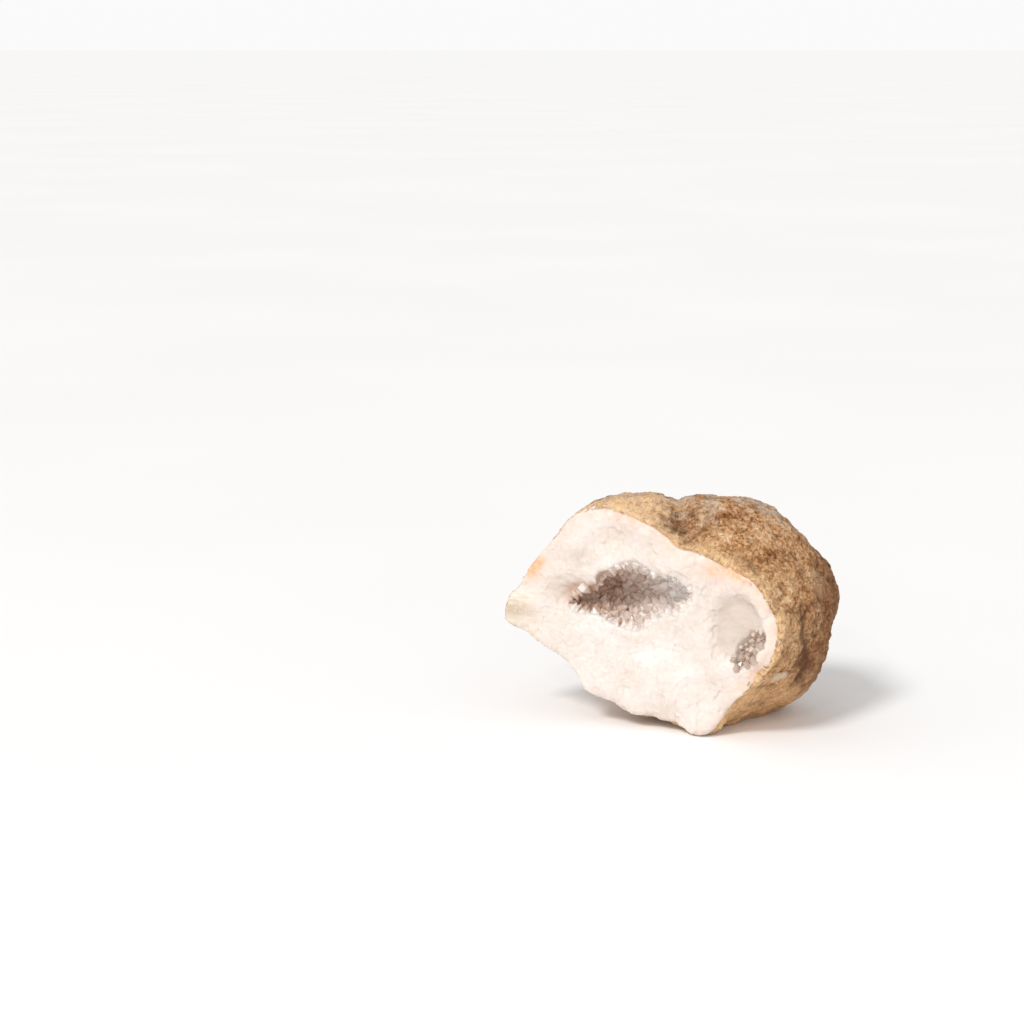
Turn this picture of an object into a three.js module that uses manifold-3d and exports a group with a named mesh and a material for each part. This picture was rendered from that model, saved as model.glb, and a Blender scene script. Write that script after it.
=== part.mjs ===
// Half of a broken quartz geode: a rough brown rind around a thick white quartz wall, broken open to a
// fracture face, with a crust of small crystals in each of its two pockets.
// Millimetres, +Z up. X runs along the length, and Y from the fracture face to the rounded back.
// The origin is in the middle of the bounding box's underside.
// The shapes are worked out around the nodule's centre and moved to the origin at the end.

import * as THREE from 'three';
import { mergeVertices } from 'three/addons/utils/BufferGeometryUtils.js';
import { ImprovedNoise } from 'three/addons/math/ImprovedNoise.js';
import Module from 'manifold-3d';

const wasm = await Module();
wasm.setup();

// ---- Driving dimensions, in millimetres and degrees ----

// The nodule's rounded facets. angle is the way a facet faces as seen from the front (0 right, 90 up),
// lean is how far it faces to the back, and reach is its distance from the nodule's centre.
const FACETS = [
  { angle: 0, lean: 5, reach: 49.5 }, // right end
  { angle: -5, lean: -34, reach: 37.5 }, // right front
  { angle: 44, lean: 5, reach: 40.9 }, // upper right
  { angle: 40, lean: -40, reach: 34.8 }, // upper right front
  { angle: 90, lean: 8, reach: 35.7 }, // top
  { angle: 89, lean: -42, reach: 28.5 }, // top front
  { angle: -25, lean: 5, reach: 44.6 }, // lower right
  { angle: -65, lean: 0, reach: 44 }, // bottom right
  { angle: -53, lean: -31, reach: 31 }, // bottom right front
  { angle: -105, lean: -18, reach: 31.8 }, // bottom left
  { angle: -135, lean: 24, reach: 34.2 }, // lower left
  { angle: 139, lean: 20, reach: 44.4 }, // upper left
  { angle: 0, lean: 90, reach: 35 }, // back
  { angle: 90, lean: 48, reach: 37 }, // upper back
  { angle: -90, lean: 50, reach: 41 }, // lower back
  { angle: 0, lean: 48, reach: 41 }, // right back
  { angle: 180, lean: 60, reach: 36 }, // left back
  { angle: 0, lean: -90, reach: 44 }, // front
];
const FACET_SHARPNESS = 12;
const BASE_REACH = 32.8; // the flat underside that it rests on, below the centre

// Rounded swellings of the outer surface. at is a point in the swelling's direction.
const SWELLINGS = [
  { at: [-56, 10, -3], height: 11, spread: 10 }, // left tip
  { at: [-16, 6, 36], height: 1.2, spread: 24 }, // left top lobe
  { at: [4, -15, -31], height: 4.5, spread: 11 }, // lobe under the rim
];
// The groove between the two top lobes. It starts at lowest and is full at full, as an upward share.
const CREASE = { x: -4, width: 3.5, depth: 2.4, lowest: 0.65, full: 0.98 };
const ROUGHNESS = { height: 0.7, size: 7 };

const RIND_THICKNESS = 1.4;
const GAP = 0.3; // between neighbouring pieces

const FACE_TURN = 25; // the fracture face looks this far to the left of the front
const FACE_DISTANCE = 14; // from the nodule's centre to the fracture face
// The rind is broken back from the rim, least at the upper right. setBack is the distance at the middle
// of the face, and the slopes say how it changes to the right and upwards.
const RIND_EDGE = { setBack: 1.5, rightSlope: -0.08, upSlope: -0.08, least: 0.4 };
const FACE_RELIEF = { height: 1.4, size: 15 };

// The pockets, each an egg-shaped hollow. centre is to the right, up and behind the face, radii are in the
// same order, and the hollow widens to the right by taper. tilt turns it in the face, and turn points its
// deep end to the right.
const MAIN_POCKET = {
  centre: [-13.5, 7.5, 5],
  radii: [20, 10.5, 16],
  taper: 0.12,
  tilt: 8,
  turn: 15,
  crust: 1.6,
  crystals: 2.4,
  detail: 3,
};
const SIDE_POCKET = {
  centre: [18.2, 1, 1],
  radii: [9, 12, 9],
  taper: 0,
  tilt: -18,
  turn: 5,
  crust: 1.4,
  crystals: 1.8,
  detail: 2,
};

// Crystal points are this share of the pocket's full crystal height, and vary by the spread over patches.
const CRYSTAL_SHARE = { mean: 0.6, spread: 0.4, patch: 3 };

// Subdivisions of the spheres that the surfaces start from.
const OUTER_DETAIL = 10;
const INNER_DETAIL = 7;

// The block whose inner side is the fracture face.
const BLOCK_SPAN = 150;
const BLOCK_DEPTH = 60;
const BLOCK_STEPS = 32;

const NOISE_GAIN = 1.6; // brings the noise to about -1 to 1

const RIND_LOOK = { color: 0xb98a5e, roughness: 0.9, metalness: 0 };
const QUARTZ_LOOK = { color: 0xf7efe8, roughness: 0.45, metalness: 0 };
const MAIN_CRYSTAL_LOOK = { color: 0xd9ccc4, roughness: 0.15, metalness: 0 };
const SIDE_CRYSTAL_LOOK = { color: 0xe9dfd8, roughness: 0.15, metalness: 0 };

// ---- Helpers ----

const noise = new ImprovedNoise();
const radians = THREE.MathUtils.degToRad;

// Makes a solid of a closed mesh.
function toSolid(geometry) {
  const triangles = mergeVertices(geometry);
  return new wasm.Manifold(new wasm.Mesh({
    numProp: 3,
    vertProperties: new Float32Array(triangles.attributes.position.array),
    triVerts: new Uint32Array(triangles.index.array),
  }));
}

// Makes a mesh of a solid.
function toGeometry(solid) {
  const mesh = solid.getMesh();
  const geometry = new THREE.BufferGeometry();
  geometry.setAttribute('position', new THREE.BufferAttribute(mesh.vertProperties, 3));
  geometry.setIndex(new THREE.BufferAttribute(mesh.triVerts, 1));
  geometry.computeVertexNormals();
  return geometry;
}

function bareSphere(detail) {
  const sphere = new THREE.IcosahedronGeometry(1, detail);
  sphere.deleteAttribute('normal');
  sphere.deleteAttribute('uv');
  return mergeVertices(sphere);
}

// Moves every vertex to the place that the function returns for it.
function reshape(geometry, place) {
  const position = geometry.attributes.position;
  const point = new THREE.Vector3();
  for (let i = 0; i < position.count; i += 1) {
    const moved = place(point.fromBufferAttribute(position, i));
    position.setXYZ(i, moved.x, moved.y, moved.z);
  }
  return geometry;
}

// Smooth random relief of about -1 to 1, whose bumps are as wide as size.
function relief(x, y, z, size) {
  return NOISE_GAIN * noise.noise(x / size, y / size, z / size);
}

// ---- Outer surface of the nodule ----

const facets = FACETS.map(({ angle, lean, reach }) => ({
  reach,
  normal: new THREE.Vector3(
    Math.cos(radians(angle)) * Math.cos(radians(lean)),
    Math.sin(radians(lean)),
    Math.sin(radians(angle)) * Math.cos(radians(lean)),
  ),
}));

const swellings = SWELLINGS.map(({ at, height, spread }) => ({
  direction: new THREE.Vector3(...at).normalize(),
  height,
  spread: radians(spread),
}));

// Distance from the nodule's centre to its smooth surface, before the flat base is taken off.
function smoothRadius(direction) {
  let sum = 0;
  for (const { normal, reach } of facets) {
    sum += (Math.max(0, direction.dot(normal)) / reach) ** FACET_SHARPNESS;
  }
  let radius = sum ** (-1 / FACET_SHARPNESS);
  for (const swelling of swellings) {
    radius += swelling.height * Math.exp(-((direction.angleTo(swelling.direction) / swelling.spread) ** 2));
  }
  const side = (direction.x * radius - CREASE.x) / CREASE.width;
  const upward = THREE.MathUtils.smoothstep(direction.z, CREASE.lowest, CREASE.full);
  return radius - CREASE.depth * upward * Math.exp(-(side ** 2));
}

function roughRadius(direction) {
  const radius = smoothRadius(direction);
  const { x, y, z } = direction.clone().multiplyScalar(radius);
  return radius + ROUGHNESS.height * relief(x, y, z, ROUGHNESS.size);
}

// The nodule's solid, smaller by the inset all round. The flat base limits how far down it reaches.
function nodule(detail, radiusAt, inset) {
  return toSolid(reshape(bareSphere(detail), (point) => {
    const direction = point.normalize();
    const toBase = direction.z < 0 ? (BASE_REACH - inset) / -direction.z : Infinity;
    const radius = Math.min(radiusAt(direction) - inset, toBase);
    return direction.multiplyScalar(radius);
  }));
}

// ---- Fracture face ----

// Turns a shape from the face's own frame (X along the face, Y up, Z out of the stone) to the nodule's.
function placeOnFace(geometry) {
  geometry.translate(0, 0, FACE_DISTANCE);
  geometry.rotateX(radians(90));
  geometry.rotateZ(radians(-FACE_TURN));
  return geometry;
}

// A block in front of the fracture face. Its inner side carries the face's relief, moved back by setBackAt.
function frontBlock(setBackAt) {
  const block = new THREE.BoxGeometry(BLOCK_SPAN, BLOCK_SPAN, BLOCK_DEPTH, BLOCK_STEPS, BLOCK_STEPS, 1);
  block.deleteAttribute('normal');
  block.deleteAttribute('uv');
  block.translate(0, 0, BLOCK_DEPTH / 2);
  reshape(block, (point) => {
    if (point.z < BLOCK_DEPTH / 2) {
      point.z = FACE_RELIEF.height * relief(point.x, point.y, 0, FACE_RELIEF.size);
      point.z -= setBackAt(point.x, point.y);
    }
    return point;
  });
  return toSolid(placeOnFace(block));
}

function rindEdge(x, y) {
  const { setBack, rightSlope, upSlope, least } = RIND_EDGE;
  return Math.max(least, setBack + rightSlope * x + upSlope * y);
}

// ---- Pockets ----

function eggWall(pocket, larger) {
  const [right, up, deep] = pocket.radii.map((radius) => radius + larger);
  return reshape(bareSphere(pocket.detail), (point) => {
    point.y *= 1 + pocket.taper * point.x;
    return point;
  }).scale(right, up, deep);
}

function placeInPocket(geometry, { centre, tilt, turn }) {
  geometry.rotateY(radians(-turn));
  geometry.rotateZ(radians(tilt));
  geometry.translate(centre[0], centre[1], -centre[2]);
  return placeOnFace(geometry);
}

// The pocket's hollow, made larger by the given amount all round.
function pocketHollow(pocket, larger) {
  return toSolid(placeInPocket(eggWall(pocket, larger), pocket));
}

// The hollow left inside the crystals: every triangle of the hollow's wall carries one crystal point,
// and the points fade out towards the mouth.
function crystalHollow(pocket) {
  const { mean, spread, patch } = CRYSTAL_SHARE;
  const wall = eggWall(pocket, -pocket.crust);
  const position = wall.attributes.position;
  const corners = wall.index;
  const points = Array.from(position.array);
  const triangles = [];
  const corner = new THREE.Vector3();
  for (let i = 0; i < corners.count; i += 3) {
    const ring = [corners.getX(i), corners.getX(i + 1), corners.getX(i + 2)];
    const tip = new THREE.Vector3();
    for (const index of ring) {
      tip.add(corner.fromBufferAttribute(position, index));
    }
    tip.divideScalar(3);
    const share = mean + spread * relief(tip.x, tip.y, tip.z, patch);
    const fade = THREE.MathUtils.smoothstep(pocket.centre[2] - tip.z, 0, 2 * pocket.crystals);
    tip.setLength(tip.length() - pocket.crystals * share * fade);
    const tipIndex = points.length / 3;
    points.push(tip.x, tip.y, tip.z);
    for (let side = 0; side < 3; side += 1) {
      triangles.push(ring[side], ring[(side + 1) % 3], tipIndex);
    }
  }
  const hollow = new THREE.BufferGeometry();
  hollow.setAttribute('position', new THREE.Float32BufferAttribute(points, 3));
  hollow.setIndex(triangles);
  return toSolid(placeInPocket(hollow, pocket));
}

// ---- Pieces ----

const faceBlock = frontBlock(() => 0);

function rind() {
  return nodule(OUTER_DETAIL, roughRadius, 0)
    .subtract(nodule(INNER_DETAIL, smoothRadius, RIND_THICKNESS))
    .subtract(frontBlock((x, y) => rindEdge(x, y) + GAP));
}

// The quartz fills the rind, and reaches the outer surface where the rind is broken back from the rim.
function quartzWall() {
  return nodule(OUTER_DETAIL, roughRadius, 0)
    .intersect(frontBlock(rindEdge))
    .add(nodule(INNER_DETAIL, smoothRadius, RIND_THICKNESS + GAP))
    .subtract(faceBlock)
    .subtract(pocketHollow(MAIN_POCKET, GAP))
    .subtract(pocketHollow(SIDE_POCKET, GAP));
}

function pocketCrystals(pocket) {
  return pocketHollow(pocket, 0).subtract(crystalHollow(pocket)).subtract(faceBlock);
}

function piece(name, solid, look) {
  const mesh = new THREE.Mesh(toGeometry(solid), new THREE.MeshStandardMaterial(look));
  mesh.name = name;
  return mesh;
}

const geode = new THREE.Group();
geode.add(
  piece('rind', rind(), RIND_LOOK),
  piece('quartz_wall', quartzWall(), QUARTZ_LOOK),
  piece('main_pocket_crystals', pocketCrystals(MAIN_POCKET), MAIN_CRYSTAL_LOOK),
  piece('side_pocket_crystals', pocketCrystals(SIDE_POCKET), SIDE_CRYSTAL_LOOK),
);

const bounds = new THREE.Box3().setFromObject(geode);
const middle = bounds.getCenter(new THREE.Vector3());
geode.position.set(-middle.x, -middle.y, -bounds.min.z);

export default geode;
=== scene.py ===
# The looks of half of a broken quartz geode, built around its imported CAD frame.
# Metres, +Z up. The fracture face looks to the front and a little to the left.

import math

import bmesh
import bpy
import numpy as np
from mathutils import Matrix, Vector, noise
from mathutils.bvhtree import BVHTree


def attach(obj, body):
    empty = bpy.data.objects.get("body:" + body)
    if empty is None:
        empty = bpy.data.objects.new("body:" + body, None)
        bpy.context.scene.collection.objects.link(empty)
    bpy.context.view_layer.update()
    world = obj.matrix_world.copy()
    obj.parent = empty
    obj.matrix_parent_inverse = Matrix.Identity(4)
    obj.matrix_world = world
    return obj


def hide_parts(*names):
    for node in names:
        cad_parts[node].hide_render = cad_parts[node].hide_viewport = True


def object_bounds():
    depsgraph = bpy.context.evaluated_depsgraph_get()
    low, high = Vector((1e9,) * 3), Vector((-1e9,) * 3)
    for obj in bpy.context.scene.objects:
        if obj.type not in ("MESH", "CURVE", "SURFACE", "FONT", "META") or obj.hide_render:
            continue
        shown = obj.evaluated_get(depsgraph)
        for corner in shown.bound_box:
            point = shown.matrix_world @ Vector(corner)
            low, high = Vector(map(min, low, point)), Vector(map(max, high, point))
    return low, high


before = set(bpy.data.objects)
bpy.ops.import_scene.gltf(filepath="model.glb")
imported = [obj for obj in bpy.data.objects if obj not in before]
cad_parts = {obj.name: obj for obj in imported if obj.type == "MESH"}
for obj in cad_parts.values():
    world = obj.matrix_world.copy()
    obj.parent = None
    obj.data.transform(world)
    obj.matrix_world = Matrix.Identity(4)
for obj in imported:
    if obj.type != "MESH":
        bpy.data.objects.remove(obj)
cad_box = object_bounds()

# ---- Driving values, in metres and radians ----

MM = 0.001
SEED = 7
NOISE_STEP = 31.7  # how far apart in the endless noise two seeds read it

FACE_TURN = math.radians(25)
FACE_OUT = Vector((-math.sin(FACE_TURN), -math.cos(FACE_TURN), 0))
FACE_RIGHT = Vector((math.cos(FACE_TURN), -math.sin(FACE_TURN), 0))
OUT = np.array(FACE_OUT)
RIGHT = np.array(FACE_RIGHT)
UP = np.array((0, 0, 1))
BOX_MIDDLE = sum(cad_box, Vector()) / 2
RIGHT_END = cad_box[1].x
TOP = cad_box[1].z

RIND_VOXEL = 0.62 * MM
QUARTZ_VOXEL = 0.75 * MM
JOIN = 0.2 * MM  # how far neighbouring pieces grow into each other across the CAD's gap
MERGE = 0.3 * MM  # how far the quartz wall and the crusts grow, to become one mass

# The camera and how far to the side and above the object it aims.
LENS = 85
SENSOR = 36
CAMERA_DISTANCE = 0.725
CAMERA_ELEVATION = math.radians(11)
AIM_LEFT = 47.7 * MM
AIM_UP = 28.1 * MM

# Lights. Azimuth 0 is in front of the object. The world is white, and brighter as the camera sees it.
LIGHTS = {
    "key": {"kind": "SUN", "azimuth": -38, "elevation": 46, "distance": 1.0, "power": 1.6},
    "fill": {"kind": "AREA", "azimuth": -8, "elevation": 14, "distance": 1.0, "power": 1.2, "size": 0.3},
    "spark": {"kind": "AREA", "azimuth": -20, "elevation": 32, "distance": 0.9, "power": 0.4, "size": 0.03},
}
SUN_BLUR = math.radians(14)
WORLD_LIGHT = 0.62
WORLD_SEEN = 0.96
FLOOR_HALF = 60

# Broad shapes of the fracture face. Places are from the middle of the main pocket's mouth, to the right
# and up, and a negative height is a hollow.
FACE_SHAPES = [
    {"at": (8 * MM, -24 * MM), "spread": (15 * MM, 8 * MM), "height": 1.6 * MM},  # mound below the pocket
    {"at": (-20.5 * MM, -1 * MM), "spread": (6.5 * MM, 5 * MM), "height": -2.6 * MM},  # slope at its left
    {"at": (-28 * MM, -11 * MM), "spread": (5 * MM, 4 * MM), "height": -0.9 * MM},  # hollow by the tip
    {"at": (-8 * MM, 15.5 * MM), "spread": (8 * MM, 3.5 * MM), "height": -1.0 * MM},  # hollow above it
    {"at": (12 * MM, 13 * MM), "spread": (9 * MM, 4 * MM), "height": 0.8 * MM},  # mound above it
]
FACE_SHAPE_FADE = (1 * MM, 3 * MM)  # how far behind the face these shapes fade out

# Where the rind's colour stains the face most, and the painted shadow under the tip. The tip is the face's
# left end:
# its colours are full up to the first distance from there, and gone at the second.
STAINS = [
    {"at": (27 * MM, 9.5 * MM), "spread": (6 * MM, 2.4 * MM), "share": 0.6},
    {"at": (-33 * MM, 4.6 * MM), "spread": (2.8 * MM, 2.4 * MM), "share": 1.2},
    {"at": (-30.5 * MM, 7.4 * MM), "spread": (2.4 * MM, 1.8 * MM), "share": 1.2},
]
TIP_SHADOW = {"at": (-37.5 * MM, -8 * MM), "spread": (5.5 * MM, 2.6 * MM)}
TIP_REACH = (3 * MM, 14 * MM)
TIP_UNDERSIDE_REACH = (3 * MM, 13 * MM)

# The white quartz near the rind.
CHIP_DEPTH = 1.1 * MM
CHIP_REACH = 2.2 * MM  # how far from the rim the chips are broken out of it
RIM_SINK = 1.8 * MM  # how wide the strip is that sinks behind the rind
RIM_STAIN = 1.7 * MM  # how far the rind's colour stains it

# Broad swells of the rind, a crevice down its right side, and the dark crease and pale spot. Places are in
# the frame: to the right, to the back and up, or to the right and up.
RIND_SHAPES = [
    {"at": (37 * MM, 2 * MM, 12 * MM), "spread": 13 * MM, "height": 3.4 * MM},
    {"at": (46 * MM, 0 * MM, 24 * MM), "spread": 8 * MM, "height": -0.8 * MM},
    {"at": (49 * MM, 0 * MM, 40 * MM), "spread": 8 * MM, "height": 0.8 * MM},
]
CREVICE = {"right": 38 * MM, "width": 1.5 * MM, "up": (11 * MM, 42 * MM), "ends": 6 * MM, "depth": 0.9 * MM}
CREASE = {"at": (1.5 * MM, -15 * MM, TOP - 4 * MM), "spread": 6 * MM}
PALE_SPOT = {"at": (31 * MM, 17 * MM), "spread": (3.4 * MM, 1.9 * MM), "behind": 1 * MM, "deep": 3 * MM}
RIM_DEPTH = 14 * MM  # the rind's front edge is nowhere further behind the face
RIND_INWARD = JOIN + 0.4 * MM  # how far the rind's inner side grows into the quartz
RIND_DEEPEST = -0.6 * MM  # the most that its outer side sinks, so that it stays clear of the inner one

# The rind's front edge grows over the gap to the quartz in a ragged line, and stays behind the face.
EDGE_FORWARD = 0.8 * MM
EDGE_LEAST = 0.4 * MM
EDGE_BEHIND_FACE = 0.3 * MM
EDGE_FADE = (0.3 * MM, 2 * MM)

# Where the rind's colours change, from and to, on the frame's axes.
# Redder towards the right end, with painted shade there, on the side turned from the key light.
RUDDY_AND_SHADE_X = (RIGHT_END - 16 * MM, RIGHT_END - 3 * MM)
# Painted light: lighter low down on the right.
LIT_LOW_X = (0, 15 * MM)
LIT_LOW_Z = (8 * MM, 22 * MM)
BLEACHED_Y = (-22 * MM, 4 * MM)
BLEACHED_Z = (TOP - 16 * MM, TOP - 3 * MM)
LOBE_X = (CREASE["at"][0] - 5 * MM, CREASE["at"][0])
LOBE_Y = (-8 * MM, 10 * MM)
LOBE_Z = (TOP - 20 * MM, TOP - 10 * MM)

# The side pocket's floor: a shallow bowl with a deeper slit at its lower right, measured from the middle
# of the pocket's mouth. The CAD's pocket is deeper, and its wall is brought forward to this floor.
BOWL_DEPTH = 2.6 * MM
SLIT = {
    "at": (5.2 * MM, -6.0 * MM),
    "lean": math.radians(36),
    "spread": (2.9 * MM, 7.2 * MM),
    "depth": 5 * MM,
}
SIDE_POCKET_DEPTH = 16 * MM

# The main pocket's mouth is wider than the plain oval, and not evenly: way is the direction from its middle
# (0 right, 90 up), more is how much wider it is there, and spread is over what angle.
MOUTH_WIDER = 1.4 * MM
MOUTH_SHAPE = [
    {"way": math.radians(-80), "more": 1.7 * MM, "spread": math.radians(28)},
    {"way": math.radians(100), "more": 0.5 * MM, "spread": math.radians(20)},
    {"way": math.radians(196), "more": 4.5 * MM, "spread": math.radians(10)},
    {"way": math.radians(5), "more": 1.6 * MM, "spread": math.radians(10)},
    {"way": math.radians(42), "more": -3.0 * MM, "spread": math.radians(22)},
    {"way": math.radians(174), "more": -4.6 * MM, "spread": math.radians(10)},
    {"way": math.radians(146), "more": 0.8 * MM, "spread": math.radians(10)},
    {"way": math.radians(-36), "more": -2.4 * MM, "spread": math.radians(16)},
    {"way": math.radians(-148), "more": -1.6 * MM, "spread": math.radians(14)},
]
MOUTH_FADE = 9 * MM  # how far from the mouth's edge the widening fades out, along the face
MOUTH_DEPTH = 12 * MM  # and behind it

LIP_DEPTH = 2.2 * MM  # how far behind the face the white quartz reaches into the main pocket

# Crystal points, from the largest to the smallest: width across, distance to the next one, and how far
# the prism stands out of the quartz.
MAIN_POINTS = [
    {"width": (2.8 * MM, 4.0 * MM), "apart": 2.9 * MM, "stand": (0.0 * MM, 0.4 * MM)},
    {"width": (1.9 * MM, 2.6 * MM), "apart": 1.7 * MM, "stand": (0.0 * MM, 0.3 * MM)},
]
LIP_POINTS = [
    {"width": (2.0 * MM, 2.8 * MM), "apart": 2.6 * MM, "stand": (0.0 * MM, 0.2 * MM)},
    {"width": (1.1 * MM, 1.7 * MM), "apart": 1.5 * MM, "stand": (0.0 * MM, 0.2 * MM)},
]
SIDE_POINTS = [
    {"width": (2.0 * MM, 2.8 * MM), "apart": 2.2 * MM, "stand": (0.0 * MM, 0.2 * MM)},
    {"width": (1.3 * MM, 1.9 * MM), "apart": 1.2 * MM, "stand": (0.0 * MM, 0.1 * MM)},
]
TIP_RISE = 1.1  # a quartz point's height over the distance from its axis to a side
AXIS_SPREAD = 0.22  # how unevenly the points stand
TIP_LEAN = 0.16  # how far a tip is off its axis, over the same distance
CORNER_REACH = (0.86, 1.1)  # how far the corners are from the axis, over the same distance

# ---- Mesh helpers ----


def vertex_values(mesh, what):
    values = np.empty(len(mesh.vertices) * 3)
    mesh.vertices.foreach_get(what, values)
    return values.reshape(-1, 3)


def surface(piece):
    """The places and normals of the piece's vertices."""
    return vertex_values(piece.data, "co"), vertex_values(piece.data, "normal")


def move_vertices(piece, points):
    piece.data.vertices.foreach_set("co", points.ravel())
    piece.data.update()


def add_object(name, data):
    thing = bpy.data.objects.new(name, data)
    bpy.context.scene.collection.objects.link(thing)
    return thing


def above_floor(points):
    """The points, with those below the floor raised to it."""
    return np.column_stack([points[:, :2], np.maximum(points[:, 2], 0)])


def apply_modifiers(piece):
    evaluated = piece.evaluated_get(bpy.context.evaluated_depsgraph_get())
    mesh = bpy.data.meshes.new_from_object(evaluated)
    piece.modifiers.clear()
    piece.data = mesh


def remesh(piece, voxel, smoothing):
    """Gives the piece small even faces, and softens its edges."""
    even = piece.modifiers.new("even", "REMESH")
    even.mode = "VOXEL"
    even.voxel_size = voxel
    piece.modifiers.new("smooth", "SMOOTH").iterations = smoothing
    apply_modifiers(piece)


def split_faces(piece, chosen):
    """Splits each face whose vertices are all chosen into four."""
    mesh = bmesh.new()
    mesh.from_mesh(piece.data)
    split = {face for face in mesh.faces if all(chosen[vertex.index] for vertex in face.verts)}
    edges = [edge for edge in mesh.edges if not split.isdisjoint(edge.link_faces)]
    bmesh.ops.subdivide_edges(mesh, edges=edges, cuts=1, use_grid_fill=True)
    mesh.to_mesh(piece.data)
    mesh.free()


def paint(piece, name, values):
    """Stores one number per vertex for the material."""
    attribute = piece.data.attributes.new(name, "FLOAT", "POINT")
    attribute.data.foreach_set("value", np.asarray(values, np.float32))


def declare(piece, material, node):
    """Gives the piece its material, hangs it on the root body, and hides the CAD part that it replaces."""
    piece.data.materials.append(material)
    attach(piece, "root")
    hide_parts(node)


def smoothstep(values, low, high):
    share = np.clip((values - low) / (high - low), 0, 1)
    return share * share * (3 - 2 * share)


def spot(places, at, spread):
    """1 at one place, fading out round it over the spread."""
    away = (places - np.array(at)) / spread
    return np.exp(-(away**2).sum(1))


# ---- Relief ----


def sampled(function, points, size, seed):
    """The function's value at each point, with its features as wide as size."""
    return np.array([function(point) for point in (points / size + NOISE_STEP * (seed + SEED)).tolist()])


def waves(points, size, seed):
    """Smooth relief, about -1 to 1."""
    return 1.6 * sampled(noise.noise, points, size, seed)


def one_facet(point):
    centre = noise.voronoi(point)[1][0]
    tilt = noise.cell_vector(centre) - Vector((0.5, 0.5, 0.5))
    return (Vector(point) - centre).dot(tilt) + 0.5 * noise.cell(centre)


def facets(points, size, seed):
    """Flat tilted patches, as broken quartz has, about -1 to 1."""
    return sampled(one_facet, points, size, seed)


def pits(points, size, seed):
    """Round pits, 1 at the bottom of each and 0 between them."""
    nearest = sampled(lambda point: noise.voronoi(point)[0][0], points, size, seed)
    return 1 - smoothstep(nearest, 0.1, 0.55)


def cracks(points, size, seed, width):
    """Thin winding lines, 1 in the middle of each."""
    return 1 - smoothstep(np.abs(waves(points, size, seed)), 0, width)


# ---- Places on the fracture face ----


def face_level():
    """How far out along FACE_OUT the fracture face lies: half of its area is in front of this level."""
    facing = [
        (polygon.center.dot(FACE_OUT), polygon.area)
        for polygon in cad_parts["quartz_wall"].data.polygons
        if polygon.normal.dot(FACE_OUT) > 0.9
    ]
    facing.sort(key=lambda polygon: polygon[0])
    half = sum(area for _, area in facing) / 2
    for level, area in facing:
        half -= area
        if half <= 0:
            return level


FACE_LEVEL = face_level()


def depth_of(place):
    """How far behind the fracture face one place is."""
    return FACE_LEVEL - place.dot(FACE_OUT)


def depths(points):
    """How far behind the fracture face each point is."""
    return FACE_LEVEL - points @ OUT


def face_places(points):
    """Each point's place along the face: to the right and up."""
    return np.column_stack([points @ RIGHT, points[:, 2]])


def face_point(place, depth):
    """The point at a place on the face, that far behind it."""
    return np.array(place[0] * FACE_RIGHT + place[1] * Vector((0, 0, 1)) + (FACE_LEVEL - depth) * FACE_OUT)


def outwards(distances):
    """Moves straight out of the face."""
    return distances[:, None] * OUT


def along_face(moves):
    """Moves to the right and up along the face, as moves in space."""
    return moves[:, :1] * RIGHT + moves[:, 1:] * UP


def mouth(node):
    """The middle and the half size of a pocket's mouth, to the right and up."""
    points = vertex_values(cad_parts[node].data, "co")
    rim = face_places(points[depths(points) < 2 * MM])
    return (rim.min(0) + rim.max(0)) / 2, (rim.max(0) - rim.min(0)) / 2


# A pocket's heart is a point in its hollow, which its wall faces.
MAIN_MOUTH, MAIN_HALF = mouth("main_pocket_crystals")
SIDE_MOUTH, SIDE_HALF = mouth("side_pocket_crystals")
MAIN_HEART = face_point(MAIN_MOUTH, 6 * MM)
SIDE_HEART = face_point(SIDE_MOUTH, 1 * MM)


def share_of(points, middle, half):
    """Each point's distance from the middle of a pocket's mouth, 1 on the plain oval's edge."""
    return np.linalg.norm((face_places(points) - middle) / half, axis=1)


def faces_heart(points, normals, heart):
    """True where the surface looks towards a pocket's heart."""
    return ((heart - points) * normals).sum(1) > 0


def rim_tree():
    """The front edge of the rind, which runs round the fracture face."""
    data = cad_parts["rind"].data
    facing = [polygon for polygon in data.polygons if polygon.normal.dot(FACE_OUT) > 0.8]
    edge = [tuple(polygon.vertices) for polygon in facing if depth_of(polygon.center) < RIM_DEPTH]
    return BVHTree.FromPolygons([vertex.co for vertex in data.vertices], edge)


RIM = rim_tree()


def rim_places(points):
    """(distance to the rind's front edge, depth of that edge) for each point."""
    found = [RIM.find_nearest(point) for point in points.tolist()]
    return np.array([(distance, depth_of(place)) for place, _, _, distance in found]).T


def face_shape(points):
    """Broad mounds and hollows of the fracture face at each point."""
    places = face_places(points) - MAIN_MOUTH
    return sum(shape["height"] * spot(places, shape["at"], shape["spread"]) for shape in FACE_SHAPES)


def mouth_shape(points):
    """The move that widens the main pocket's mouth into its uneven outline."""
    offsets = face_places(points) - MAIN_MOUTH
    way = np.arctan2(offsets[:, 1], offsets[:, 0])
    wider = np.full(len(points), MOUTH_WIDER)
    for part in MOUTH_SHAPE:
        turned = np.angle(np.exp(1j * (way - part["way"])))
        wider += part["more"] * np.exp(-((turned / part["spread"]) ** 2))
    length = np.linalg.norm(offsets, axis=1)
    share = np.linalg.norm(offsets / MAIN_HALF, axis=1)
    beyond = length * (1 - 1 / share)
    wider *= smoothstep(share, 0.2, 0.9) * (1 - smoothstep(beyond, 0, MOUTH_FADE))
    wider *= 1 - smoothstep(depths(points), MOUTH_DEPTH / 4, MOUTH_DEPTH)
    return along_face(offsets * (wider / length)[:, None])


# ---- Places in the pockets ----


def main_pocket(points, normals):
    """True on the wall of the main pocket."""
    near = share_of(points, MAIN_MOUTH, MAIN_HALF) < 1.3
    return near & (depths(points) > 0.5 * MM) & faces_heart(points, normals, MAIN_HEART)


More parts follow.
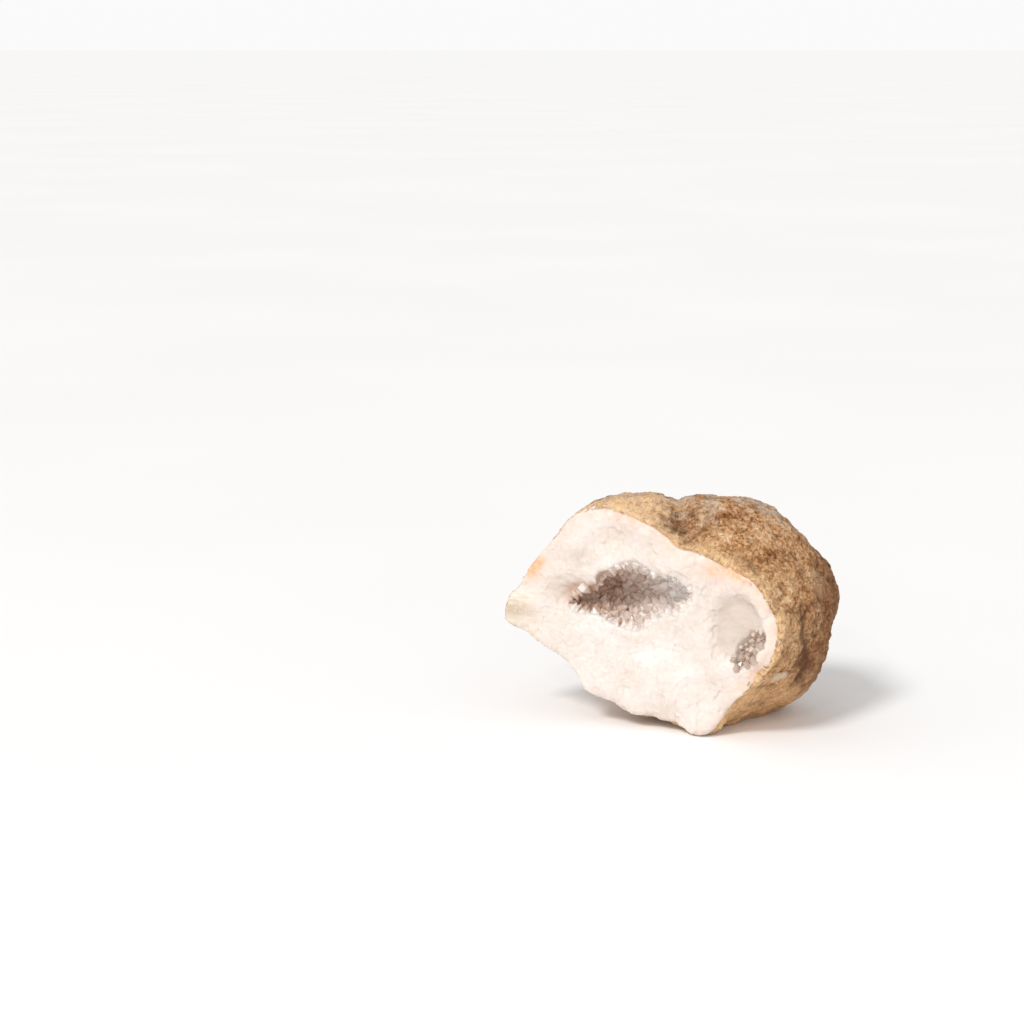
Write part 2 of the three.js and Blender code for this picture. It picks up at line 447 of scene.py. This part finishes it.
def slit_share(points):
    """1 in the side pocket's slit and 0 outside it."""
    across = face_places(points) - SIDE_MOUTH - SLIT["at"]
    cosine = math.cos(SLIT["lean"])
    sine = math.sin(SLIT["lean"])
    wide = cosine * across[:, 0] - sine * across[:, 1]
    long = sine * across[:, 0] + cosine * across[:, 1]
    wide += 1.1 * MM * waves(points, 3.5 * MM, 41) + 0.5 * MM * waves(points, 1.5 * MM, 42)
    return 1 - smoothstep(np.hypot(wide / SLIT["spread"][0], long / SLIT["spread"][1]), 0.75, 1.1)


def side_floor(points):
    """Depth of the side pocket's floor behind the face. The bowl is steeper on its right."""
    right = (face_places(points) - SIDE_MOUTH)[:, 0] / SIDE_HALF[0]
    flat = 0.25 + 0.5 * smoothstep(right, -0.6, 0.8)
    bowl = BOWL_DEPTH * (1 - smoothstep(share_of(points, SIDE_MOUTH, SIDE_HALF), flat, 1.05))
    return bowl + (SLIT["depth"] - bowl) * slit_share(points)


def bowl_shade_share(points):
    """How much of the side pocket's beige painted shade each point has, from 0 to 1."""
    return smoothstep(side_floor(points), 0.1 * BOWL_DEPTH, 0.8 * BOWL_DEPTH)


def paint_pocket(piece):
    """How deep in the main pocket each point is, and how far to its right. The materials turn these into
    the pocket's brown-grey, which is partly its colour and partly painted shade, darker on its left and
    lighter on its right.
    """
    points = vertex_values(piece.data, "co")
    near = 1 - smoothstep(share_of(points, MAIN_MOUTH, MAIN_HALF), 1.2, 1.35)
    paint(piece, "depth", near * smoothstep(depths(points), 0.7 * LIP_DEPTH, 1.4 * LIP_DEPTH))
    across = (face_places(points) - MAIN_MOUTH)[:, 0] / MAIN_HALF[0]
    paint(piece, "right", smoothstep(across, -0.9, 0.9))


# ---- Materials ----


def colour(code):
    """The linear colour of a six-digit sRGB code."""
    channels = [int(code[i : i + 2], 16) / 255 for i in (0, 2, 4)]
    linear = [c / 12.92 if c <= 0.04045 else ((c + 0.055) / 1.055) ** 2.4 for c in channels]
    return (*linear, 1)


class Look:
    """A material under construction. Most methods add a node and return its output."""

    def __init__(self, name):
        self.material = bpy.data.materials.new(name)
        self.material.use_nodes = True
        self.tree = self.material.node_tree
        self.shader = self.tree.nodes["Principled BSDF"]
        self.place = self.add("ShaderNodeTexCoord").outputs["Object"]

    def add(self, kind, inputs=(), **settings):
        node = self.tree.nodes.new(kind)
        for setting, value in settings.items():
            setattr(node, setting, value)
        for name, value in dict(inputs).items():
            self.feed(node.inputs[name], value)
        return node

    def feed(self, socket, value):
        if isinstance(value, bpy.types.NodeSocket):
            self.tree.links.new(value, socket)
        else:
            socket.default_value = value

    def set(self, **inputs):
        """Sets or links the shader's own inputs, with _ for each space in their names."""
        for name, value in inputs.items():
            self.feed(self.shader.inputs[name.replace("_", " ")], value)

    def glow(self, weight):
        """Light that enters the stone and comes out again nearby."""
        self.set(Subsurface_Weight=weight, Subsurface_Radius=(1.0, 0.75, 0.6), Subsurface_Scale=2 * MM)

    def noise(self, size, detail, roughness=0.55, distortion=0):
        settings = {"Vector": self.place, "Scale": 1 / size, "Detail": detail, "Roughness": roughness}
        return self.add("ShaderNodeTexNoise", {**settings, "Distortion": distortion}).outputs[0]

    def streaks(self, size, detail, stretch):
        """Noise that is fine in height and long sideways."""
        stretched = self.add("ShaderNodeMapping", {"Vector": self.place, "Scale": (1, 1, stretch)})
        settings = {"Vector": stretched.outputs[0], "Scale": 1 / size, "Detail": detail}
        return self.add("ShaderNodeTexNoise", settings).outputs[0]

    def voronoi(self, size, output):
        return self.add("ShaderNodeTexVoronoi", {"Vector": self.place, "Scale": 1 / size}).outputs[output]

    def cells(self, size):
        """The distance to the nearest cell's middle."""
        return self.voronoi(size, "Distance")

    def grains(self, size):
        """A random tone for each grain."""
        return self.add("ShaderNodeSeparateColor", {0: self.voronoi(size, "Color")}).outputs[0]

    def painted(self, name):
        """What paint() stored under this name."""
        return self.add("ShaderNodeAttribute", attribute_name=name).outputs["Fac"]

    def blend(self, *parts):
        """The weighted sum of (weight, value) pairs."""
        total = 0.0
        for weight, value in parts:
            inputs = {0: value, 1: weight, 2: total}
            total = self.add("ShaderNodeMath", inputs, operation="MULTIPLY_ADD").outputs[0]
        return total

    def fit(self, value, low, high, to_low=0, to_high=1):
        """The value, taken smoothly from one range to another."""
        limits = {"Value": value, "From Min": low, "From Max": high, "To Min": to_low, "To Max": to_high}
        return self.add("ShaderNodeMapRange", limits, interpolation_type="SMOOTHSTEP").outputs[0]

    def ramp(self, value, *stops):
        """The colour at the value, from (position, colour code) stops."""
        node = self.add("ShaderNodeValToRGB", {0: value})
        elements = node.color_ramp.elements
        while len(elements) < len(stops):
            elements.new(1)
        for element, (position, code) in zip(elements, stops):
            element.position = position
            element.color = colour(code)
        return node.outputs[0]

    def mix(self, share, first, second):
        return self.add("ShaderNodeMix", {0: share, 6: first, 7: second}, data_type="RGBA").outputs[2]

    def tint(self, base, mask, code, *shares):
        """The base colour with another over it, as much as the mask times each share says."""
        for share in shares:
            mask = self.add("ShaderNodeMath", {0: mask, 1: share}, operation="MULTIPLY").outputs[0]
        return self.mix(mask, base, colour(code))

    def bump(self, height, depth, strength=1, normal=None):
        """A normal for relief of this depth, on top of another normal if one is given."""
        inputs = {"Height": height, "Distance": depth, "Strength": strength}
        if normal:
            inputs["Normal"] = normal
        return self.add("ShaderNodeBump", inputs).outputs[0]


def rind_look():
    """Sandy brown stone with dark grit, bleached at the top and orange along its broken edge, with painted
    shade in its hollows and towards its right end, and painted light low on its right.
    """
    look = Look("rind")
    broad = look.noise(14 * MM, 3)
    patches = look.noise(4.5 * MM, 5, 0.65, 0.5)
    grit = look.noise(1.2 * MM, 5, 0.8)
    sand = look.noise(0.45 * MM, 3, 0.7)
    tone = look.blend((0.22, broad), (0.32, patches), (0.34, grit), (0.12, look.grains(0.8 * MM)))
    base = look.ramp(
        tone, (0.37, "67401f"), (0.44, "b07849"), (0.50, "d5a06e"), (0.56, "eabf90"), (0.64, "fbe0be")
    )
    base = look.tint(base, look.painted("lobe"), "ffd3a3", look.fit(grit, 0.3, 0.55, 0.6, 1))
    # Painted light: lighter low on the right, where the lamps leave it in shade.
    base = look.tint(base, look.painted("low"), "ffcd98", 0.6)
    # Redder and darker towards the right end: partly the rind's colour, partly painted shade.
    base = look.tint(base, look.painted("ruddy_and_shade"), "6a3517", 0.55)
    base = look.tint(base, look.fit(sand, 0.55, 0.66, 0, 0.6), "7c4e2f")
    # Painted shade in the cracks, pits and crevice.
    base = look.tint(base, look.painted("painted_cavity_shade"), "5f381f", 0.85)
    base = look.tint(base, look.painted("rim"), "ffd6a4", look.fit(grit, 0.35, 0.6, 0.35, 1))
    bleach = look.fit(look.blend((0.6, patches), (0.4, grit)), 0.45, 0.58)
    base = look.tint(base, look.painted("top"), "d2c6b8", bleach, look.fit(sand, 0.35, 0.6, 0.95, 0.55))
    base = look.tint(base, look.painted("pale"), "f0dcc2", 0.8)
    base = look.tint(base, look.painted("stain"), "552a0e", look.fit(grit, 0.35, 0.6, 1, 0.45))
    normal = look.bump(look.noise(1.5 * MM, 4, 0.7), 0.9 * MM)
    normal = look.bump(look.cells(0.9 * MM), 0.4 * MM, 0.9, normal)
    normal = look.bump(sand, 0.4 * MM, 1, normal)
    look.set(Base_Color=base, Roughness=look.fit(grit, 0.3, 0.7, 0.96, 0.74), Normal=normal)
    look.set(Specular_IOR_Level=0.3)
    return look.material


def tip_colour(look):
    """Cream with fine streaks along the tip."""
    return look.ramp(look.streaks(5 * MM, 3, 9), (0.36, "dcc7a4"), (0.5, "e8d9c0"), (0.62, "eee4d3"))


def pocket_colour_and_shade(look):
    """Brown-grey, partly the pocket's colour and partly painted shade: darker at the pocket's left, which
    turns from the key light, and painted lighter at its right, which the key light reaches.
    """
    across = look.blend((0.75, look.painted("right")), (0.5, look.noise(5 * MM, 3)), (-0.12, 1.0))
    return look.ramp(across, (0.15, "c4a591"), (0.45, "f6e8de"), (0.8, "fff9f4"))


def quartz_look():
    """Sugary white quartz, stained near the rind, with painted shade in the face's hollows, the bowl, the
    slit and under the tip, and a brown-grey pocket, partly its colour and partly painted shade.
    """
    look = Look("quartz")
    cloud = look.noise(12 * MM, 4)
    sugar = look.noise(1.4 * MM, 4, 0.65)
    base = look.blend((0.6, cloud), (0.4, sugar))
    base = look.ramp(base, (0.36, "dacbc0"), (0.5, "e5d9d0"), (0.64, "ece3dd"))
    # Painted shade in the face's hollows.
    base = look.tint(base, look.painted("painted_shade"), "d9c7b8")
    # Beige painted shade in the side pocket's bowl, and darker painted shade in its slit.
    base = look.tint(base, look.painted("bowl"), "d0c0b2", look.fit(cloud, 0.3, 0.6, 1, 0.7))
    base = look.tint(base, look.painted("slit"), "d0bcac")
    base = look.mix(look.painted("tip"), base, tip_colour(look))
    # The main pocket's brown-grey, partly its colour and partly painted shade.
    base = look.mix(look.painted("depth"), base, pocket_colour_and_shade(look))
    base = look.tint(base, look.painted("rim"), "f0b385", look.fit(sugar, 0.35, 0.6, 0.4, 1))
    base = look.tint(base, look.painted("skin"), "cf9a68")
    # Painted shade on the tip's underside, and the painted shadow under it.
    base = look.tint(base, look.painted("edge"), "a58763", look.fit(sugar, 0.35, 0.6, 0.6, 1))
    normal = look.bump(look.cells(1.3 * MM), 0.3 * MM, 0.4)
    normal = look.bump(look.noise(0.6 * MM, 3, 0.6), 0.2 * MM, 0.4, normal)
    look.set(Base_Color=base, Roughness=look.fit(sugar, 0.35, 0.65, 0.28, 0.6), Normal=normal)
    look.glow(0.4)
    return look.material


def finish_crystals(look, base, fog, roughness, glow):
    """Glassy crystal faces with a little fog in them."""
    normal = look.bump(look.noise(0.8 * MM, 2), 0.08 * MM, 0.5)
    look.set(Base_Color=base, Roughness=look.fit(fog, 0.3, 0.7, *roughness), Normal=normal)
    look.glow(glow)
    return look.material


def main_crystals_look():
    """White crystals at the pocket's edge, brown-grey ones in it (partly their colour, partly painted
    shade), with more painted shade on those that face up.
    """
    look = Look("main_crystals")
    fog = look.noise(1.0 * MM, 3)
    lip = look.ramp(fog, (0.4, "e4d7cd"), (0.6, "ede3da"))
    # Brown-grey deeper in the pocket, partly the crystals' colour and partly painted shade.
    base = look.mix(look.painted("depth"), lip, pocket_colour_and_shade(look))
    # Painted shade on the crystals that face up, deep in the pocket.
    base = look.tint(base, look.painted("painted_shade"), "b89c8a", look.painted("depth"), 0.45)
    return finish_crystals(look, base, fog, (0.12, 0.38), 0.22)


def side_crystals_look():
    """Beige crystals, with painted shade on those that face up and some random darkening."""
    look = Look("side_crystals")
    fog = look.noise(1.0 * MM, 3)
    base = look.ramp(look.noise(3 * MM, 3), (0.4, "c8b3a3"), (0.6, "dccabc"))
    # Painted shade on the crystals that face up.
    base = look.tint(base, look.painted("painted_shade"), "a08674", 0.6)
    return finish_crystals(look, base, fog, (0.1, 0.35), 0.2)


# ---- Rind ----


def near_crevice(points):
    """1 in the middle of the crevice that runs down the right side of the rind, and 0 away from it. Painted
    shade darkens it.
    """
    wander = 1.6 * MM * waves(points, 9 * MM, 24)
    across = (points[:, 0] - CREVICE["right"] - wander) / CREVICE["width"]
    low, high = CREVICE["up"]
    ends = smoothstep(points[:, 2], low, low + CREVICE["ends"])
    ends *= 1 - smoothstep(points[:, 2], high - CREVICE["ends"], high)
    return np.exp(-(across**2)) * ends * (points[:, 1] < 0)


# How high each feature of the rind stands. Pits and cracks go in.
RIND_HEIGHTS = {
    "lumps": 0.3 * MM,
    "knobs": 0.34 * MM,
    "grain": 0.3 * MM,
    "pits": -0.35 * MM,
    "cracks": -0.3 * MM,
}


def rind_features(points):
    """The parts of the rind's relief that also colour it, each about -1 to 1 or 0 to 1."""
    return {
        "lumps": waves(points, 11 * MM, 13),
        "knobs": waves(points, 4.5 * MM, 14),
        "grain": waves(points, 1.7 * MM, 15),
        "pits": pits(points, 2.6 * MM, 16) * (waves(points, 9 * MM, 17) > -0.2),
        "cracks": cracks(points, 17 * MM, 18, 0.07) * smoothstep(waves(points, 10 * MM, 19), -0.1, 0.5),
        "crevice": near_crevice(points),
    }


def rind_relief(points, features):
    """How far the rind's outer side rises at each point."""
    relief = sum(height * features[name] for name, height in RIND_HEIGHTS.items())
    relief += 0.26 * MM * facets(points, 1.3 * MM, 20)
    swells = sum(swell["height"] * spot(points, swell["at"], swell["spread"]) for swell in RIND_SHAPES)
    relief += swells - CREVICE["depth"] * features["crevice"]
    return np.maximum(relief, RIND_DEEPEST)


def edge_growth(points, away):
    """How far the rind's front edge grows towards the face, which it stays behind."""
    ragged = EDGE_FORWARD + 0.5 * MM * waves(points, 3.5 * MM, 11) + 0.15 * MM * waves(points, 1.5 * MM, 12)
    forward = np.maximum(ragged, EDGE_LEAST) * (1 - smoothstep(away, *EDGE_FADE))
    return np.minimum(forward, np.maximum(depths(points) - EDGE_BEHIND_FACE, 0))


def paint_rind(piece, features, away):
    """Where each of the rind's colours, its painted shade and its painted light are. away is each vertex's
    distance from the front edge.
    """
    points = vertex_values(piece.data, "co")
    x, y, z = points.T
    # Painted shade: darker in the cracks, pits and crevice, and less on the raised grain.
    hollow = 0.6 * features["cracks"] + 0.5 * features["pits"] + features["crevice"]
    raised = 0.35 * features["knobs"] + 0.3 * features["grain"]
    paint(piece, "painted_cavity_shade", np.clip(hollow - raised, 0, 1))
    # Redder towards the right end, partly the rind's colour and partly painted shade.
    paint(piece, "ruddy_and_shade", smoothstep(x, *RUDDY_AND_SHADE_X))
    # Painted light low on the right.
    paint(piece, "low", (1 - smoothstep(z, *LIT_LOW_Z)) * smoothstep(x, *LIT_LOW_X))
    paint(piece, "rim", np.exp(-away / (2.6 * MM)) * (0.85 + 0.5 * waves(points, 3 * MM, 21)).clip(0, 1))
    stain = spot(points, CREASE["at"], CREASE["spread"])
    paint(piece, "stain", np.clip(2.3 * stain * (0.6 + 0.7 * waves(points, 2 * MM, 22)), 0, 0.95))
    lobe = 1 - smoothstep(x + 3 * MM * waves(points, 6 * MM, 23), *LOBE_X)
    lobe *= smoothstep(z, *LOBE_Z)
    lobe *= 1 - smoothstep(y + 5 * MM * features["lumps"], *LOBE_Y)
    paint(piece, "lobe", lobe)
    paint(piece, "top", smoothstep(z, *BLEACHED_Z) * smoothstep(y, *BLEACHED_Y) * (1 - 0.5 * lobe))
    pale = np.linalg.norm((points[:, (0, 2)] - PALE_SPOT["at"]) / PALE_SPOT["spread"], axis=1)
    front = y[pale < 0.5].min()
    pale = np.hypot(pale, (y - front - PALE_SPOT["behind"]) / PALE_SPOT["deep"])
    paint(piece, "pale", 1 - smoothstep(pale + 0.4 * features["knobs"], 0.6, 1.2))


def make_rind():
    """The rind, with relief on its outer side. Its inner side grows into the quartz."""
    piece = add_object("weathered_rind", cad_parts["rind"].data.copy())
    piece.data.materials.clear()
    piece.modifiers.new("weld", "WELD").merge_threshold = 0.001 * MM
    remesh(piece, RIND_VOXEL, 4)
    points, normals = surface(piece)
    away, _ = rim_places(points)
    features = rind_features(points)
    outward = ((points - np.array(BOX_MIDDLE)) * normals).sum(1) > 0
    growth = np.where(outward, rind_relief(points, features), RIND_INWARD)
    forward = edge_growth(points, away)
    points += growth[:, None] * normals + outwards(forward)
    move_vertices(piece, above_floor(points))
    paint_rind(piece, features, away)
    piece.data.shade_smooth()
    declare(piece, rind_look(), "rind")


# ---- Quartz ----


def grown_mass(name, nodes):
    """One object of the nodes' solids, each grown a little so that they run into each other."""
    mesh = bmesh.new()
    for node in nodes:
        mesh.from_mesh(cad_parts[node].data)
    bmesh.ops.remove_doubles(mesh, verts=mesh.verts, dist=0.001 * MM)
    mesh.normal_update()
    for vertex in mesh.verts:
        vertex.co += MERGE * vertex.normal
    data = bpy.data.meshes.new(name)
    mesh.to_mesh(data)
    mesh.free()
    return add_object(name, data)


def keep_outer_shell(piece):
    """Deletes closed bubbles inside the piece, so that only the shell with the most vertices is left."""
    mesh = bmesh.new()
    mesh.from_mesh(piece.data)
    unseen = set(mesh.verts)
    shells = []
    while unseen:
        shell = {unseen.pop()}
        edge_of_shell = list(shell)
        while edge_of_shell:
            vertex = edge_of_shell.pop()
            for edge in vertex.link_edges:
                other = edge.other_vert(vertex)
                if other in unseen:
                    unseen.discard(other)
                    shell.add(other)
                    edge_of_shell.append(other)
        shells.append(shell)
    shells.sort(key=len)
    for shell in shells[:-1]:
        bmesh.ops.delete(mesh, geom=list(shell), context="VERTS")
    mesh.to_mesh(piece.data)
    mesh.free()


def side_pocket_moves(points, normals):
    """Moves that bring the side pocket's wall forward to the floor of its bowl and slit."""
    inside = 1 - smoothstep(share_of(points, SIDE_MOUTH, SIDE_HALF), 1.0, 1.15)
    inside = np.maximum(inside, slit_share(points))
    shown = faces_heart(points, normals, SIDE_HEART) | (normals @ OUT > 0.3)
    shown &= depths(points) < SIDE_POCKET_DEPTH
    return outwards(inside * shown * (depths(points) + MERGE - side_floor(points)))


def shape_quartz(piece):
    """Shallows the side pocket, widens the main one's mouth, and gives the face its mounds and hollows."""
    points, normals = surface(piece)
    on_face = 1 - smoothstep(depths(points), *FACE_SHAPE_FADE)
    points += side_pocket_moves(points, normals)
    points += mouth_shape(points) + outwards(on_face * face_shape(points))
    move_vertices(piece, points)


def quartz_relief(points):
    """Relief of broken, sugary quartz."""
    return (
        0.6 * MM * waves(points, 8 * MM, 1)
        + 0.34 * MM * facets(points, 3.6 * MM, 2)
        + 0.2 * MM * facets(points, 1.5 * MM, 3)
    )


def roughen_quartz(piece, outer, away, edge_depth):
    """Adds the fine relief, and sinks the quartz where it runs under the rind."""
    points, normals = surface(piece)
    depth = depths(points)
    hidden = outer * smoothstep(depth, edge_depth - 0.2 * MM, edge_depth + 0.6 * MM)
    sunk = outer * smoothstep(depth, edge_depth - 1.5 * MM, edge_depth - 0.3 * MM)
    relief = (1 - np.maximum(hidden, sunk)) * quartz_relief(points)
    relief -= (MERGE + JOIN) * np.maximum(hidden, 2 * sunk)
    by_rim = np.exp(-((away / RIM_SINK) ** 2))
    relief += by_rim * (-MERGE - JOIN - relief)
    chips = CHIP_DEPTH * smoothstep(waves(points, 7 * MM, 34), 0.1, 0.7) * np.exp(-away / CHIP_REACH)
    points += relief[:, None] * normals - outwards(chips)
    move_vertices(piece, above_floor(points))


def paint_quartz(piece, away, turned, skin):
    """Where each of the quartz's colours and painted shades is.

    Each vertex has its distance from the rim in away, how much it looks aside in turned, and how much it is
    on the outer side in skin.
    """
    points = vertex_values(piece.data, "co")
    places = face_places(points)
    from_left = places[:, 0] - places[:, 0].min()
    places -= MAIN_MOUTH
    tip = 1 - smoothstep(from_left, *TIP_REACH)
    paint(piece, "tip", 0.8 * tip * (0.7 + 0.4 * waves(points, 3 * MM, 31)).clip(0, 1))
    # Painted shade, deeper in the face's hollows.
    paint(piece, "painted_shade", np.clip(-face_shape(points) / (3 * MM), 0, 0.8))
    # Painted shade: beige in the side pocket's bowl, darker in its slit.
    paint(piece, "bowl", bowl_shade_share(points))
    paint(piece, "slit", smoothstep(side_floor(points), 0.5 * SLIT["depth"], 0.9 * SLIT["depth"]))
    rim = np.exp(-away / RIM_STAIN) * (0.75 + 0.6 * waves(points, 3 * MM, 32))
    for stain in STAINS:
        rim += stain["share"] * spot(places, stain["at"], stain["spread"])
    paint(piece, "rim", rim.clip(0, 1))
    # Painted shade on the faces at the tip that turn aside, and the painted shadow below the tip.
    shaded_underside = turned * (1 - smoothstep(from_left, *TIP_UNDERSIDE_REACH))
    shadow = spot(places, TIP_SHADOW["at"], TIP_SHADOW["spread"])
    paint(piece, "edge", np.clip(0.9 * shaded_underside + 0.6 * shadow, 0, 1))
    paint(piece, "skin", 0.8 * skin * smoothstep(waves(points, 7 * MM, 33) + 1.5 * tip, -0.2, 0.6))
    paint_pocket(piece)


def make_quartz():
    """The quartz wall and both crusts as one mass, with finer faces where they show."""
    piece = grown_mass("broken_quartz", ("quartz_wall", "main_pocket_crystals", "side_pocket_crystals"))
    remesh(piece, QUARTZ_VOXEL, 2)
    keep_outer_shell(piece)
    shape_quartz(piece)
    remesh(piece, QUARTZ_VOXEL, 3)

    points, normals = surface(piece)
    before_rind = depths(points) < rim_places(points)[1] + 1.5 * MM
    split_faces(piece, main_pocket(points, normals) | before_rind)

    points, normals = surface(piece)
    away, edge_depth = rim_places(points)
    outer = (normals @ OUT < 0.5) & ~main_pocket(points, normals) & (bowl_shade_share(points) < 0.02)
    turned = 1 - smoothstep(normals @ OUT, 0.6, 0.98)
    skin = smoothstep(depths(points), 1.2 * MM, 2.6 * MM) * outer
    roughen_quartz(piece, outer, away, edge_depth)
    paint_quartz(piece, away, turned, skin)
    piece.data.shade_smooth()
    declare(piece, quartz_look(), "quartz_wall")
    return piece


# ---- Crystals ----


def crystals_near_edge(points, normals):
    """True where crystals may grow near the main pocket's edge: on its sides, and not at its upper left."""
    right, up = ((face_places(points) - MAIN_MOUTH) / MAIN_HALF).T
    turned_away = normals @ OUT < 0.15
    return turned_away & ~((right < -0.4) & (up > 0))


def in_main(points, normals):
    """True on the main pocket's wall behind its white edge."""
    depth = depths(points)
    inside = (depth > 2.5 * LIP_DEPTH) | ((depth > LIP_DEPTH) & crystals_near_edge(points, normals))
    return main_pocket(points, normals) & inside


def on_lip(points, normals):
    """True on the white edge of the main pocket."""
    edge = (depths(points) < LIP_DEPTH) & crystals_near_edge(points, normals)
    return main_pocket(points, normals) & edge


def in_slit(points, normals):
    """True on the wall of the side pocket's slit."""
    return (slit_share(points) > 0.25) & faces_heart(points, normals, SIDE_HEART)


NEIGHBOURS = [np.array((x, y, z)) for x in (-1, 0, 1) for y in (-1, 0, 1) for z in (-1, 0, 1)]


def crystal_seats(host, sizes, where, draws):
    """Places for crystals on the host: (point, normal, size), none too near another."""
    points, normals = surface(host)
    candidates = np.flatnonzero(where(points, normals))
    seats = []
    for size in sizes:
        cell = size["apart"]
        taken = {}
        for seat in seats:
            taken.setdefault(tuple(np.floor(seat[0] / cell).astype(int)), []).append(seat[0])
        for index in draws.permutation(candidates):
            point = points[index]
            key = np.floor(point / cell).astype(int)
            near = [other for step in NEIGHBOURS for other in taken.get(tuple(key + step), ())]
            if all(np.linalg.norm(point - other) > cell for other in near):
                taken.setdefault(tuple(key), []).append(point)
                seats.append((point, normals[index], size))
    return seats


def crystal(point, normal, size, draws):
    """Vertices of one six-sided crystal: its foot, a ring in the quartz, a ring outside, and its tip."""
    axis = Vector(normal + draws.normal(0, AXIS_SPREAD, 3)).normalized()
    side = axis.orthogonal().normalized()
    other = axis.cross(side)
    radius = draws.uniform(*size["width"]) / 2
    stand = draws.uniform(*size["stand"])
    spin = draws.uniform(0, math.tau)
    lean = Vector(draws.normal(0, TIP_LEAN * radius, 3))
    ring = []
    for corner in range(6):
        turn = spin + corner * math.tau / 6
        reach = radius * draws.uniform(*CORNER_REACH)
        ring.append(reach * (math.cos(turn) * side + math.sin(turn) * other))
    base = Vector(point) - axis * radius
    shoulder = Vector(point) + axis * stand
    tip = shoulder + axis * radius * TIP_RISE + lean
    return [base, *(base + arm for arm in ring), *(shoulder + arm for arm in ring), tip]


# A crystal's faces, by its vertices: 0 is the foot, 1 to 6 and 7 to 12 are the rings, and 13 is the tip.
CRYSTAL_FACES = [
    *((0, 1 + (i + 1) % 6, 1 + i) for i in range(6)),
    *((1 + i, 1 + (i + 1) % 6, 7 + (i + 1) % 6, 7 + i) for i in range(6)),
    *((7 + i, 7 + (i + 1) % 6, 13) for i in range(6)),
]


def make_points(name, host, groups, material, node):
    """The crystals of some (sizes, where) groups, grown on the host. Those that face up get painted shade,
    and each crystal some random darkening too.
    """
    draws = np.random.default_rng(SEED)
    vertices = []
    faces = []
    painted_shades = []
    for sizes, where in groups:
        for point, normal, size in crystal_seats(host, sizes, where, draws):
            start = len(vertices)
            vertices += crystal(point, normal, size, draws)
            faces += [tuple(start + index for index in face) for face in CRYSTAL_FACES]
            # Painted shade where a crystal faces up, with a random darkening on top.
            painted_shade = 0.5 * draws.uniform(0, 1) ** 2 + smoothstep(normal[2], 0, 0.8)
            painted_shades += [min(painted_shade, 1)] * (len(vertices) - start)
    mesh = bpy.data.meshes.new(name)
    mesh.from_pydata(vertices, [], faces)
    piece = add_object(name, mesh)
    paint_pocket(piece)
    paint(piece, "painted_shade", painted_shades)
    declare(piece, material, node)


# ---- Stage ----


def make_floor():
    mesh = bpy.data.meshes.new("floor")
    corners = [(FLOOR_HALF * x, FLOOR_HALF * y, 0) for x, y in ((-1, -1), (1, -1), (1, 1), (-1, 1))]
    mesh.from_pydata(corners, [], [(0, 1, 2, 3)])
    floor = add_object("floor", mesh)
    look = Look("floor")
    base = look.ramp(look.noise(0.4, 2), (0.4, "fbfaf9"), (0.6, "fdfcfb"))
    look.set(Base_Color=base, Roughness=0.9)
    mesh.materials.append(look.material)


def aim(thing, place, target):
    thing.location = place
    thing.rotation_euler = (target - place).to_track_quat("-Z", "Y").to_euler()


def lamp_way(azimuth, elevation):
    """The way from the object to a light."""
    turn = math.radians(azimuth)
    rise = math.radians(elevation)
    return Vector((math.sin(turn) * math.cos(rise), -math.cos(turn) * math.cos(rise), math.sin(rise)))


def add_light(name, light, target):
    data = bpy.data.lights.new(name, light["kind"])
    data.energy = light["power"]
    if light["kind"] == "SUN":
        data.angle = SUN_BLUR
    else:
        data.shape = "DISK"
        data.size = light["size"]
    away = lamp_way(light["azimuth"], light["elevation"]) * light["distance"]
    aim(add_object(name, data), target + away, target)


def make_world():
    world = bpy.data.worlds.new("studio")
    world.use_nodes = True
    tree = world.node_tree
    path = tree.nodes.new("ShaderNodeLightPath")
    strength = tree.nodes.new("ShaderNodeMapRange")
    strength.inputs["To Min"].default_value = WORLD_LIGHT
    strength.inputs["To Max"].default_value = WORLD_SEEN
    tree.links.new(path.outputs["Is Camera Ray"], strength.inputs["Value"])
    tree.links.new(strength.outputs[0], tree.nodes["Background"].inputs["Strength"])
    tree.nodes["Background"].inputs["Color"].default_value = (1, 1, 1, 1)
    bpy.context.scene.world = world


def make_camera(middle):
    data = bpy.data.cameras.new("camera")
    data.lens = LENS
    data.sensor_width = SENSOR
    camera = add_object("camera", data)
    forward = Vector((0, math.cos(CAMERA_ELEVATION), -math.sin(CAMERA_ELEVATION)))
    up = Vector((0, math.sin(CAMERA_ELEVATION), math.cos(CAMERA_ELEVATION)))
    target = middle + Vector((-AIM_LEFT, 0, 0)) + AIM_UP * up
    aim(camera, target - forward * CAMERA_DISTANCE, target)
    bpy.context.scene.camera = camera


# ---- Build ----

make_camera(BOX_MIDDLE)
make_floor()
make_world()
for name, light in LIGHTS.items():
    add_light(name, light, BOX_MIDDLE)
bpy.context.scene.view_settings.view_transform = "Standard"

make_rind()
quartz = make_quartz()
make_points(
    "main_pocket_points",
    quartz,
    [(MAIN_POINTS, in_main), (LIP_POINTS, on_lip)],
    main_crystals_look(),
    "main_pocket_crystals",
)
make_points(
    "side_pocket_points",
    quartz,
    [(SIDE_POINTS, in_slit)],
    side_crystals_look(),
    "side_pocket_crystals",
)
